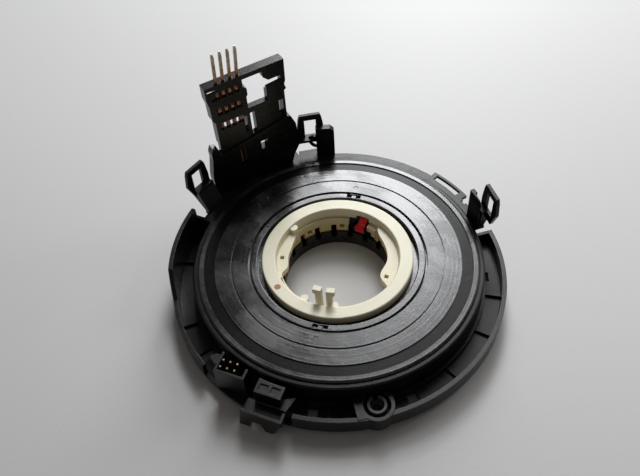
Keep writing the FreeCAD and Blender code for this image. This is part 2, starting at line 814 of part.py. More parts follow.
def make_carrier():
    """The carrier: jacket, far side flange and its latch, near side tray."""
    start = tray_start
    stop = tray_stop
    far_start = tray_stop - FULL_TURN
    end_turn = math.degrees(end_wall / tray_radius)
    half_rib = math.degrees(rib_thickness / 2 / tray_radius)
    pieces = [
        ring(carrier_inner_radius, jacket_radius, carrier_bottom, jacket_low_top),
        ring(carrier_inner_radius - carrier_ledge, carrier_inner_radius,
             drum_bottom - carrier_ledge_thickness, drum_bottom),
        ring(carrier_inner_radius, jacket_radius, carrier_bottom, flange_top, far_start, start),
        ring(jacket_radius, flange_radius, flange_bottom, flange_top, far_start, start),
        ring(jacket_radius, tray_radius, carrier_bottom, tray_top, start, stop),
        ring(flange_radius, latch_radius, flange_bottom, flange_top, latch_start, latch_stop),
        ring(carrier_inner_radius, tray_radius, carrier_bottom, flange_top,
             start, start + end_turn),
        ring(carrier_inner_radius, tray_radius, carrier_bottom, shroud_top,
             stop - end_turn, stop),
    ]
    for azimuth in rib_azimuths:
        pieces.append(ring(carrier_inner_radius, tray_radius, carrier_bottom,
                           tray_top + rib_height, azimuth - half_rib, azimuth + half_rib))
    brace_back = brace_foot + brace_depth
    rear_back = rear_loop_front + loop_thickness
    for left, right, front, azimuth in (
            (left_loop_centre - brace_free_half, left_loop_centre + loop_wide_half, brace_back,
             left_loop_azimuth),
            (rear_loop_centre - loop_wide_half, rear_loop_centre + loop_wide_half, rear_back,
             rear_loop_azimuth),
            (right_loop_centre - loop_wide_half, right_loop_centre + right_brace_free_half,
             brace_back, right_loop_azimuth)):
        pieces.append(flange_pad(left, right, front + pad_margin, azimuth))
    half_guard = guard_width / 2
    for centre, back, azimuth in (
            (rear_guard_centre, rear_guard_front + rear_guard_depth, rear_guard_azimuth),
            (right_guard_centre, right_guard_front + right_guard_depth, right_guard_azimuth)):
        pieces.append(flange_pad(centre - half_guard, centre + half_guard, back, azimuth))
    tower_end = base_right + max(outside for outside, rise in base_right_steps)
    pieces.append(flange_pad(base_left, tower_end, base_front + base_depth + pad_margin,
                             tower_azimuth))
    body = joined(*pieces)
    cuts = [pillar(carrier_inner_radius, drum_bottom, flange_top + BEYOND)]
    cuts.append(pillar(boss_radius + seat_clearance, 0.0, boss_top, boss_x, boss_y))
    hole_inner = jacket_radius + seat_clearance
    for azimuth in hole_azimuths:
        hole = block(-hole_width / 2, hole_width / 2, hole_inner, hole_inner + hole_length,
                     carrier_bottom - BEYOND, tray_top + BEYOND)
        cuts.append(at_azimuth(hole, azimuth))
    slot = block(-slot_length / 2, slot_length / 2, hole_inner, hole_inner + slot_width,
                 carrier_bottom - BEYOND, tray_top + BEYOND)
    cuts.append(at_azimuth(slot, slot_azimuth))
    latch_turn = math.degrees(latch_window_wall / latch_radius)
    cuts.append(ring(flange_radius - latch_window_wall, latch_radius - latch_window_wall,
                     flange_bottom - BEYOND, flange_top + BEYOND,
                     latch_start + 3 * latch_turn, latch_stop - 2 * latch_turn))
    cuts.append(ring(flange_radius - latch_window_wall, flange_radius + BEYOND,
                     flange_bottom - BEYOND, flange_top + BEYOND,
                     latch_tooth_start, latch_start - latch_turn))
    cuts.append(lead_window())
    for number in terminal_numbers:
        cuts.append(at_azimuth(terminal_slot(number), tower_azimuth))
    return body.cut(cuts)


def make_outer_shroud():
    """The outer shroud: a curved wall round the tray, tall on the left, with the screw boss."""
    low = shroud_bottom
    wall = joined(
        ring(shroud_inner_radius, shroud_radius, low, high_wall_top, tray_start, ramp_stop),
        ring(shroud_inner_radius, shroud_radius, low, shroud_top, tray_start, tray_stop),
    )
    ramp_length = shroud_radius * math.radians(ramp_stop - high_wall_stop)
    above = high_wall_top + BEYOND
    ramp = upright_plate([
        (0.0, above), (0.0, high_wall_top), (-ramp_length, shroud_top),
        (-2 * ramp_length, shroud_top), (-2 * ramp_length, above),
    ], tray_radius - ramp_length / 2, shroud_radius + ramp_length / 2)
    inner = shroud_inner_radius - BEYOND
    outer = shroud_radius + BEYOND
    wall = wall.cut([
        at_azimuth(ramp, high_wall_stop),
        ring(inner, outer, shroud_low_top, above, shroud_low_start, shroud_gap_start),
        ring(inner, outer, shroud_sill_top, above, shroud_gap_start, shroud_gap_stop),
    ])
    boss = pillar(boss_radius, low, boss_top, boss_x, boss_y)
    plate_low = boss_top - boss_plate_thickness
    plate = joined(
        block(boss_plate_left, boss_plate_right, drum_radius, boss_distance, plate_low, boss_top),
        block(0.0, boss_plate_right, boss_distance, shroud_radius - shroud_wall / 2, plate_low,
              boss_top),
    )
    plate = at_azimuth(plate, boss_azimuth)
    wall = wall.cut(pillar(boss_cup_radius, low, above, boss_x, boss_y))
    body = joined(wall, boss, plate)
    return body.cut([
        pillar(carrier_inner_radius, 0.0, above),
        pillar(boss_cup_radius, low + boss_floor, above, boss_x, boss_y),
        pillar(screw_hole_radius, 0.0, above, boss_x, boss_y),
    ])


def make_boss_bush():
    """The boss bush: a flanged sleeve, open at one side, through which the fixing screw passes."""
    low = shroud_bottom + boss_floor
    flange = low + boss_plate_thickness
    body = joined(
        pillar(bush_radius, low, boss_top + bush_proud, boss_x, boss_y),
        pillar(boss_cup_radius - seat_clearance, low, flange, boss_x, boss_y),
    )
    slot = block(-bush_slot / 2, bush_slot / 2, boss_distance - bush_radius - BEYOND,
                 boss_distance, flange + BEYOND, boss_top + BEYOND)
    return body.cut([
        pillar(bush_bore_radius, flange + BEYOND, boss_top + BEYOND, boss_x, boss_y),
        pillar(screw_hole_radius, 0.0, boss_top + BEYOND, boss_x, boss_y),
        at_azimuth(slot, boss_azimuth),
    ])


def make_snap_loop(front, centre, drop, free_side, free_half, azimuth):
    """A snap loop: a flat loop that springs over a tooth, with a shelf and its support.

    The free side, -1 or 1, is the side whose lower corner is cut away. A loop with 0 stands on
    one leg instead, and its shelf carries the other corner.
    """
    back = front + loop_thickness
    top = face_height + loop_rise - drop
    sill = face_height + loop_sill - drop
    bottom = face_height + loop_low - drop
    shelf_bottom = sill - shelf_thickness
    foot_half = {side: loop_wide_half for side in (-1, 1)}
    corner_half = dict(foot_half)
    if free_side:
        foot_half[free_side] = free_half
        corner_half[free_side] = brace_free_half
    outline = [
        (centre - corner_half[-1], bottom),
        (centre + corner_half[1], bottom),
        (centre + loop_wide_half, top - loop_wide_drop),
        (centre + loop_shoulder_half, top - loop_shoulder_drop),
        (centre + loop_top_half, top),
        (centre - loop_top_half, top),
        (centre - loop_shoulder_half, top - loop_shoulder_drop),
        (centre - loop_wide_half, top - loop_wide_drop),
    ]
    body = upright_plate(outline, front, back)
    body = body.cut(block(centre - loop_opening_half, centre + loop_opening_half, front - BEYOND,
                          back + BEYOND, sill, top - loop_strap))
    if free_side:
        shelf_front = front - shelf_reach
        side_face = [
            (brace_foot, flange_top),
            (brace_foot + brace_depth, flange_top),
            (back, bottom),
            (back, sill),
            (shelf_front, sill),
            (shelf_front, shelf_bottom),
        ]
        corners = [FreeCAD.Vector(centre - foot_half[-1], y, height) for y, height in side_face]
        face = Part.Face(Part.makePolygon(corners + corners[:1]))
        brace = face.extrude(FreeCAD.Vector(foot_half[-1] + foot_half[1], 0, 0))
        return at_azimuth(joined(body, brace), azimuth)
    shelf = block(rear_shelf_left, eye_limit - seat_clearance, front - rear_shelf_reach, front,
                  shelf_bottom, sill)
    shelf = shelf.cut(rear_eye_disc(eye_radius + seat_clearance, eye_thickness + 2 * seat_clearance))
    leg = block(centre + loop_opening_half, centre + loop_wide_half, front, back, flange_top,
                bottom)
    return at_azimuth(joined(body, shelf, leg), azimuth)


def rear_eye_disc(radius, thickness):
    """A disc on edge at the rear eye's place, in the rear loop's own frame."""
    height = face_height + eye_rise
    start = FreeCAD.Vector(eye_across, eye_front - thickness / 2, height)
    disc = Part.makeCylinder(radius, thickness, start, FreeCAD.Vector(0, 1, 0))
    disc.rotate(FreeCAD.Vector(eye_across, eye_front, height), UP, -eye_turn)
    return disc


def make_rear_eye():
    """The eye beside the rear loop: a ring on edge, fixed to the side of the guard post."""
    body = rear_eye_disc(eye_radius, eye_thickness)
    body = body.cut(rear_eye_disc(eye_hole_radius, 2 * eye_thickness))
    beside = block(eye_limit, eye_limit + 4 * eye_radius, 0.0, 2 * eye_front, 0.0,
                   face_height + eye_rise + 2 * eye_radius)
    return at_azimuth(body.cut(beside), rear_loop_azimuth)


def terminal_outline(number, margin):
    """A strip's outline: upright at its foot, leaning above the bend towards the pin's place."""
    foot = terminal_places[number]
    head = foot + (pin_places[number] - foot) * (tower_top - terminal_bend) / (
        pin_top - terminal_bend)
    half = terminal_width / 2 + margin
    return [
        (foot - half, terminal_foot - margin),
        (foot + half, terminal_foot - margin),
        (foot + half, terminal_bend),
        (head + half, tower_top),
        (head - half, tower_top),
        (foot - half, terminal_bend),
    ]


def terminal_slot(number):
    """The slot for a terminal's strip, in the tower's own frame."""
    half_depth = terminal_thickness / 2 + terminal_clearance
    low = terminal_depth - half_depth
    high = terminal_depth + half_depth
    return upright_plate(terminal_outline(number, terminal_clearance), low, high)


def make_terminal(number):
    """A terminal: one stamped strip, narrow and tapered where it stands out as a pin."""
    strip = terminal_outline(number, 0.0)
    half_pin = pin_width / 2
    head = (strip[3][0] + strip[4][0]) / 2
    tip = pin_places[number]
    outline = strip[:4] + [
        (head + half_pin, tower_top),
        (tip + half_pin, pin_top - pin_taper),
        (tip + half_pin / 2, pin_top),
        (tip - half_pin / 2, pin_top),
        (tip - half_pin, pin_top - pin_taper),
        (head - half_pin, tower_top),
    ] + strip[4:]
    plate = upright_plate(outline, terminal_depth - terminal_thickness / 2,
                          terminal_depth + terminal_thickness / 2)
    return at_azimuth(plate, tower_azimuth)


def stepped(side, steps):
    """An edge's points, from its steps outside a side and their rises above the face."""
    return [(side + outside, face_height + rise) for outside, rise in steps]


def make_contact_tower():
    """The contact tower: base wall, plate with a window, contact block, top rail and ribs."""
    low = flange_top
    plate_back = tower_front + tower_depth
    block_back = tower_front + tower_block_depth
    left_edge = stepped(tower_left, plate_left_steps)
    right_edge = stepped(tower_right, plate_right_steps)
    stile_top = right_edge[0][1]
    cap_low = tower_top - tower_cap
    base = upright_plate([(base_left, low), (base_right, low)]
                         + stepped(base_right, base_right_steps)
                         + stepped(tower_left, base_left_steps), base_front,
                         base_front + base_depth)
    plate = upright_plate([(left_edge[-1][0], base_top - BEYOND), (base_right, base_top - BEYOND)]
                          + right_edge + left_edge, tower_front, plate_back)
    stile = block(base_right - stile_width, base_right, tower_front, block_back,
                  face_height + stile_sill_rise, stile_top)
    contacts_low = face_height + contacts_sill_rise
    window_edge = stepped(window_left, window_left_steps)
    contacts = upright_plate([(left_edge[-1][0], contacts_low), (window_left, contacts_low)]
                             + window_edge[:0:-1] + [(window_edge[1][0], tower_top)]
                             + left_edge, tower_front, block_back)
    head_start, head_low = stepped(window_right, window_right_steps)[4]
    head = upright_plate([(head_start, head_low), (tower_right, head_low), right_edge[-1],
                          left_edge[0], (left_edge[0][0], cap_low), (head_start, cap_low)],
                         tower_front, block_back)
    ribs = [block(across, across + tower_rib_width, tower_front, block_back, low,
                  face_height + tower_rib_rise) for across in rib_places]
    peg_start = FreeCAD.Vector(peg_across, tower_front - peg_reach, face_height + peg_rise)
    peg = Part.makeCylinder(peg_radius, peg_reach + BEYOND, peg_start, FreeCAD.Vector(0, 1, 0))
    body = joined(base, plate, stile, contacts, head, peg, *ribs)
    cuts = [tower_window()]
    cuts += tower_slots()
    cuts += [terminal_slot(number) for number in terminal_numbers]
    return at_azimuth(body.cut(cuts).removeSplitter(), tower_azimuth)


def tower_window():
    """The tower's window, with the narrow slot that runs from it into the right-hand stile."""
    back = tower_front + tower_block_depth + BEYOND
    outline = [(window_left, face_height + window_sill_rise)]
    outline += stepped(window_right, window_right_steps)
    outline += stepped(window_left, window_left_steps)
    opening = upright_plate(outline, tower_front - BEYOND, back)
    slot_back = block(window_right, window_right + side_slot_length, tower_front + tower_wall,
                      back, face_height + side_slot_sill_rise,
                      face_height + side_slot_sill_rise + side_slot_height)
    return opening.fuse(slot_back)


def tower_slots():
    """The rows of contact openings and the other slots through the tower."""
    rise = face_height
    front = base_front - BEYOND
    half_depth = terminal_thickness / 2 + terminal_clearance
    contact_front = terminal_depth - half_depth
    contact_back = terminal_depth + half_depth
    through = tower_front + tower_block_depth + BEYOND
    skin = tower_front + tower_wall
    cuts = []
    for row in row_rises[:2]:
        for across in terminal_places:
            cuts.append(block(across - contact_half, across + contact_half, front, contact_front,
                              rise + row - row_height / 2, rise + row + row_height / 2))
    last_low = rise + row_rises[2] - row_height / 2
    last_high = rise + row_rises[2] + row_height / 2
    row_left = terminal_places[0] - contact_half
    row_right = terminal_places[-1] + contact_half
    cuts.append(block(row_left, row_right, front, contact_back, last_low, last_high))
    cuts.append(block(row_left, row_right, contact_back, through, last_low - row_height,
                      last_high))
    left, right, sill, head = top_slot
    cuts.append(block(left, right, front, skin, rise + sill, rise + head))
    cuts.append(block(left, right, skin, through, rise + top_slot_back_rise, rise + head))
    for left, right, sill, head in through_slots:
        cuts.append(block(left, right, front, through, rise + sill, rise + head))
    left, right, sill, head = base_slot
    cuts.append(block(left, right, front, contact_front, rise + sill, rise + head))
    return cuts


def make_lead_block():
    """The outer lead block: it holds the terminals' feet and reaches the flat cable's end."""
    outer_back = jacket_radius + seat_clearance
    body = block(lead_block_left, lead_block_right, 0.0, lead_block_front, lead_block_bottom,
                 flange_bottom - seat_clearance)
    body = body.cut(at_azimuth(pillar(outer_back, 0.0, flange_top), 0.0))
    neck = block(lead_neck_left, lead_neck_right, lead_neck_reach, terminal_depth, cable_bottom,
                 cable_top)
    body = joined(body, neck)
    body = body.cut([terminal_slot(number) for number in terminal_numbers])
    return at_azimuth(body, tower_azimuth)


def make_header_shell():
    """The header shell: an open box for the pins, closed at the back by the drum's wall."""
    behind = pillar(tray_clear_radius, 0.0, header_top + BEYOND)
    outer = block(header_left, header_right, 0.0, header_front, tray_top, header_top)
    lug_corners = [
        FreeCAD.Vector(x, y, header_top - header_wall) for x, y in (
            (header_right - header_wall, header_lug_front),
            (header_right - header_wall, header_lug_back),
            (header_right + header_lug_reach / 2, header_lug_back),
            (header_right + header_lug_reach, header_lug_back + header_lug_reach / 2),
            (header_right + header_lug_reach / 3, header_lug_front),
        )]
    lug_face = Part.Face(Part.makePolygon(lug_corners + lug_corners[:1]))
    outer = joined(outer, lug_face.extrude(FreeCAD.Vector(0, 0, header_wall)))
    cavity = block(header_left + header_wall, header_right - header_wall, 0.0,
                   header_front - header_wall, tray_top + header_floor, header_top + BEYOND)
    holes = []
    side = header_pin_side / 2 + pin_hole_clearance
    for across, row in header_pin_places():
        holes.append(block(across - side, across + side, row - side, row + side, 0.0,
                           header_top))
    return at_azimuth(outer.cut([behind, cavity] + holes), connector_azimuth)


def header_pin_places():
    """Where the header's pins stand, as (across, outwards) in the connector's frame."""
    places = []
    for row in range(header_rows):
        for i in range(header_columns):
            places.append((header_first_pin + header_pin_pitch * i,
                           header_first_row - header_pin_pitch * row))
    return places


def make_header_pins():
    """The header's square pins, a group of separate solids."""
    side = header_pin_side / 2
    pins = [block(across - side, across + side, row - side, row + side, tray_top + seat_clearance,
                  header_pin_top) for across, row in header_pin_places()]
    return at_azimuth(Part.makeCompound(pins), connector_azimuth)


def make_connector_cover():
    """The connector cover: a closed box with two sunk panels, against the drum's wall."""
    body = block(cover_box_left, cover_box_right, 0.0, cover_box_front, tray_top, cover_box_top)
    body = body.cut(pillar(tray_clear_radius, 0.0, cover_box_top + BEYOND))
    middle = (cover_box_left + cover_box_right) / 2
    recess_low = cover_box_top - cover_box_recess
    recess_back = tray_clear_radius + cover_box_margin
    recess_front = cover_box_front - cover_box_margin
    recesses = [
        block(cover_box_left + cover_box_margin, middle - cover_box_margin / 2,
              recess_back, recess_front, recess_low, cover_box_top + BEYOND),
        block(middle + cover_box_margin / 2, cover_box_right - cover_box_margin,
              recess_back, recess_front, recess_low, cover_box_top + BEYOND),
    ]
    return at_azimuth(body.cut(recesses), connector_azimuth)


def make_fork_bracket():
    """The fork bracket: a shelf with a raised lip and a fin, and a two-legged fork turned down."""
    shelf_back = cover_box_front + seat_clearance
    shelf_low = bracket_shelf_top - bracket_wall
    shelf = block(bracket_left, bracket_right, shelf_back, bracket_front, shelf_low,
                  bracket_shelf_top)
    slope = [(bracket_left, bracket_top), (fork_knee_across, fork_knee_height),
             (fork_foot_left, fork_foot)]
    fork = upright_plate(slope + [
        (fork_notch_centre - fork_notch_half_foot, fork_foot),
        (fork_notch_centre - fork_notch_half_top, fork_notch_top),
        (fork_notch_centre + fork_notch_half_top, fork_notch_top),
        (fork_notch_centre + fork_notch_half_foot, fork_foot),
        (fork_foot_right, fork_foot),
        (bracket_right, bracket_top),
    ], bracket_front - bracket_wall, bracket_front)
    lip = block(lip_left, lip_right, lip_front - lip_thickness, lip_front, shelf_low, lip_top)
    inside = [(across + bracket_wall, height) for across, height in reversed(slope)]
    cheek = upright_plate(slope + inside, lip_front - lip_thickness, bracket_front)
    fin_corners = [
        FreeCAD.Vector(x, y, lip_top - fin_thickness) for x, y in (
            (cover_box_left - seat_clearance, lip_front - lip_thickness / 2),
            (cover_box_left - seat_clearance, fin_back + 2 * bracket_wall),
            (-fin_reach, fin_back),
            (lip_left, lip_front - lip_thickness / 2),
        )]
    fin_face = Part.Face(Part.makePolygon(fin_corners + fin_corners[:1]))
    fin = fin_face.extrude(FreeCAD.Vector(0, 0, fin_thickness))
    fin = fin.cut(pillar(tray_clear_radius, 0.0, lip_top + BEYOND))
    body = joined(shelf, fork, lip, cheek, fin)
    body = body.cut(pillar(shroud_radius + seat_clearance, 0.0, shroud_sill_top + seat_clearance))
    return at_azimuth(body, connector_azimuth)


def make_flat_cable():
    """The flat cable: half circles of growing radius that make one even spiral."""
    span = cable_outer_radius - cable_inner_radius - cable_thickness
    growth = 2 * span / (cable_half_turns - 1)
    outer_edges = []
    inner_edges = []
    radius = cable_inner_radius + cable_thickness
    centre = 0.0
    side = 1
    for _ in range(cable_half_turns):
        for edges, reach in ((outer_edges, radius), (inner_edges, radius - cable_thickness)):
            start = FreeCAD.Vector(centre + side * reach, 0, cable_bottom)
            middle = FreeCAD.Vector(centre, side * reach, cable_bottom)
            stop = FreeCAD.Vector(centre - side * reach, 0, cable_bottom)
            edges.append(Part.Arc(start, middle, stop).toShape())
        centre = centre + side * growth / 2
        radius = radius + growth / 2
        side = -side
    first = Part.makeLine(inner_edges[0].Vertexes[0].Point, outer_edges[0].Vertexes[0].Point)
    last = Part.makeLine(outer_edges[-1].Vertexes[-1].Point, inner_edges[-1].Vertexes[-1].Point)
    loop = Part.__sortEdges__(outer_edges + inner_edges + [first, last])
    face = Part.Face(Part.Wire(loop))
    ribbon = face.extrude(FreeCAD.Vector(0, 0, cable_top - cable_bottom))
    ribbon.rotate(ORIGIN, UP, inner_block_azimuth)
    return ribbon


def make_film(inner, outer, low):
    """A thin slip film that keeps the cable's edges from rubbing."""
    return ring(inner, outer, low, low + film_thickness)


def make_inner_block():
    """The inner lead block: it ties the flat cable's inner end to the hub drum."""
    half = inner_block_width / 2
    body = block(-half, half, 0.0, inner_block_reach, cable_bottom, cable_top)
    body = body.common(pillar(inner_block_reach, 0.0, face_height))
    body = body.cut(pillar(hub_drum_radius + seat_clearance, 0.0, face_height))
    return at_azimuth(body, inner_block_azimuth)


def socket_pin_places():
    """Where the wheel side socket's pins stand across the socket."""
    first = -socket_pin_pitch * (socket_pins - 1) / 2
    return [first + socket_pin_pitch * i for i in range(socket_pins)]


def make_wheel_socket():
    """The wheel side socket: a frame that hangs from the rotor's web and opens downwards."""
    half_length = socket_length / 2
    half_width = socket_width / 2
    outer = block(-half_length, half_length, socket_distance - half_width,
                  socket_distance + half_width, socket_mouth, rotor_recess)
    inner = block(-half_length + socket_wall, half_length - socket_wall,
                  socket_distance - half_width + socket_wall,
                  socket_distance + half_width - socket_wall, -BEYOND, rotor_recess + BEYOND)
    return at_azimuth(outer.cut(inner), socket_azimuth)


def make_wheel_pins():
    """The wheel side pins, a group of separate solids."""
    side = socket_pin_side / 2
    pins = [block(across - side, across + side, socket_distance - side, socket_distance + side,
                  socket_pin_tip, rotor_top) for across in socket_pin_places()]
    return at_azimuth(Part.makeCompound(pins), socket_azimuth)


def make_lock_tab():
    """The lock tab: a wide foot over the collar and a neck that leans out and to the right."""
    outer = tab_inner_radius + tab_thickness
    foot = block(tab_foot_across - tab_width / 2, tab_foot_across + tab_width / 2,
                 tab_inner_radius, outer, tab_low, tab_shoulder)
    sections = []
    for across, lean, height in ((tab_foot_across, 0.0, tab_shoulder - tab_thickness),
                                 (tab_head_across, tab_lean, tab_high)):
        corners = [FreeCAD.Vector(across + side * tab_neck / 2, radius + lean, height)
                   for side, radius in ((-1, tab_inner_radius), (1, tab_inner_radius),
                                        (1, outer), (-1, outer))]
        sections.append(Part.makePolygon(corners + corners[:1]))
    neck = Part.makeLoft(sections, True, True)
    return at_azimuth(joined(foot, neck), tab_azimuth)


def write(name, shape):
    """Writes one node's solids, after a check that they are sound."""
    if not shape.isValid() or not shape.Solids:
        raise ValueError(name + " is not a sound solid")
    shape.exportStep("parts/" + name + ".step")
    print(name, len(shape.Solids), round(shape.Volume, 1))


write("rotor", make_rotor())
write("hub_sleeve", make_hub_sleeve())
write("bearing_ring", make_bearing_ring())
write("face_cover", make_face_cover())
write("drum", make_drum())
write("carrier", make_carrier())
write("outer_shroud", make_outer_shroud())
write("boss_bush", make_boss_bush())
write("snap_loop_left", make_snap_loop(left_loop_front, left_loop_centre, 0.0, -1,
                                       brace_free_half, left_loop_azimuth))
write("snap_loop_rear", make_snap_loop(rear_loop_front, rear_loop_centre, 0.0, 0, 0.0,
                                       rear_loop_azimuth))
write("snap_loop_right", make_snap_loop(right_loop_front, right_loop_centre, right_loop_drop, 1,
                                        right_brace_free_half, right_loop_azimuth))
write("guard_post_rear", make_guard(rear_guard_centre, rear_guard_rise, rear_guard_front,
                                    rear_guard_depth, rear_guard_azimuth))
write("guard_post_right", make_guard(right_guard_centre, right_guard_rise, right_guard_front,
                                     right_guard_depth, right_guard_azimuth).cut(right_loop_room()))
write("rear_eye", make_rear_eye())
write("contact_tower", make_contact_tower())
for number in terminal_numbers:
    write("terminal_" + str(number + 1), make_terminal(number))
write("lead_block", make_lead_block())
write("header_shell", make_header_shell())
write("header_pins", make_header_pins())
write("connector_cover", make_connector_cover())
write("fork_bracket", make_fork_bracket())
write("flat_cable", make_flat_cable())
write("lower_film", make_film(hub_drum_radius + running_gap, drum_inner_radius - running_gap,
                              drum_bottom + seat_clearance))
write("upper_film", make_film(ring_foot_radius + seat_clearance,
                              drum_inner_radius - ledge_width - seat_clearance,
                              cover_underside - film_thickness - seat_clearance))
write("inner_block", make_inner_block())
write("wheel_socket", make_wheel_socket())
write("wheel_pins", make_wheel_pins())
write("lock_tab", make_lock_tab())
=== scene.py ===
"""Looks of the steering column clock spring: finishes, fine contact pieces, floor, light, camera.

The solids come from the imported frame. Sizes and places are written in millimetres, in the frame of
the solids, and MM makes them metres where an object, a lamp or a bevel is made.
"""
import bpy
import math
import numpy as np
from mathutils import Matrix


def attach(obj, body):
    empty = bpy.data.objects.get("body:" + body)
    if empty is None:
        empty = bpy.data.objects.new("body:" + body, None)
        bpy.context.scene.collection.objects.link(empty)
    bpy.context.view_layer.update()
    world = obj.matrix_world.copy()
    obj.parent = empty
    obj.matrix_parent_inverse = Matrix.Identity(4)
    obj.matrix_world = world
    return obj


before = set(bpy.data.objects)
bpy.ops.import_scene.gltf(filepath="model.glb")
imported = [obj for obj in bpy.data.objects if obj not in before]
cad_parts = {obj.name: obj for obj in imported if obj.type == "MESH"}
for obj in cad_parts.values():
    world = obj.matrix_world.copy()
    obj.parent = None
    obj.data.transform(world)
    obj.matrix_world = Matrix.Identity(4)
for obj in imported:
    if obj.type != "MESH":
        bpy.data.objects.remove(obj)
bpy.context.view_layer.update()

MM = 0.001

# Places on the solids, in millimetres and degrees
FACE_HEIGHT = 16.5
BAND_INNER = 45.9
BAND_OUTER = 50.0
THROAT_DEPTH = 6.5
HEADER_TIP_FOOT = 13.2
HEADER_TIP_HEIGHT = 14.2
TOWER_AZIMUTH = 117.7
TERMINAL_PLACES = (-14.6, -12.0, -9.4, -6.8)
TERMINAL_FACE = 56.98
CONTACT_ROWS = (61.3, 54.2, 47.1)
PIN_FOOT_HEIGHT = 66.1
PIN_TIP_HEIGHT = 78.2
BRIGHT_TIP_LENGTH = 4.0

# Small round marks on the plan: the disc's mouldings and the brown mark on the flange
MARK_RADIUS = 1.1
EJECTOR_MARKS = ((34.9, 31.4), (14.0, 45.9))
SUNK_MARKS = ((-13.6, -33.7), (-10.0, -34.9), (10.2, 34.5))
BROWN_MARK = (-22.6, -12.5)
BROWN_MARK_RADIUS = 1.35

# Radius of the rounding that finds worn edges
EDGE_WEAR = 0.16

# The photograph's view: place in millimetres, tilt from straight down and roll in degrees
CAMERA_PLACE = (-5.9, -161.72, 219.84)
CAMERA_TILT = 40.13
CAMERA_ROLL = 4.62
CAMERA_LENS = 39.19
SENSOR_WIDTH = 36.0
CLIP_START = 10.0
CLIP_END = 20000.0

# The floor: half its width, points along a side, its depth and the height and lengths of its swell
FLOOR_HALF = 6000.0
FLOOR_STEPS = 41
FLOOR_DEPTH = 0.05
FLOOR_SWELL = 0.02
FLOOR_WAVES = (90.0, 70.0)

# Names of the shader's sockets that a finish sets to one value all over
FIXED_SOCKETS = {
    "ior": "IOR",
    "metallic": "Metallic",
    "specular_level": "Specular IOR Level",
    "subsurface_weight": "Subsurface Weight",
    "subsurface_scale": "Subsurface Scale",
}


class Amount:
    """A number that varies over a surface: a socket that can be used in sums."""

    def __init__(self, finish, socket):
        self.finish = finish
        self.socket = socket

    def __add__(self, other):
        return self.finish.maths("ADD", self, other)

    def __sub__(self, other):
        return self.finish.maths("SUBTRACT", self, other)

    def __rsub__(self, other):
        return self.finish.maths("SUBTRACT", other, self)

    def __mul__(self, other):
        return self.finish.maths("MULTIPLY", self, other)

    __radd__ = __add__
    __rmul__ = __mul__


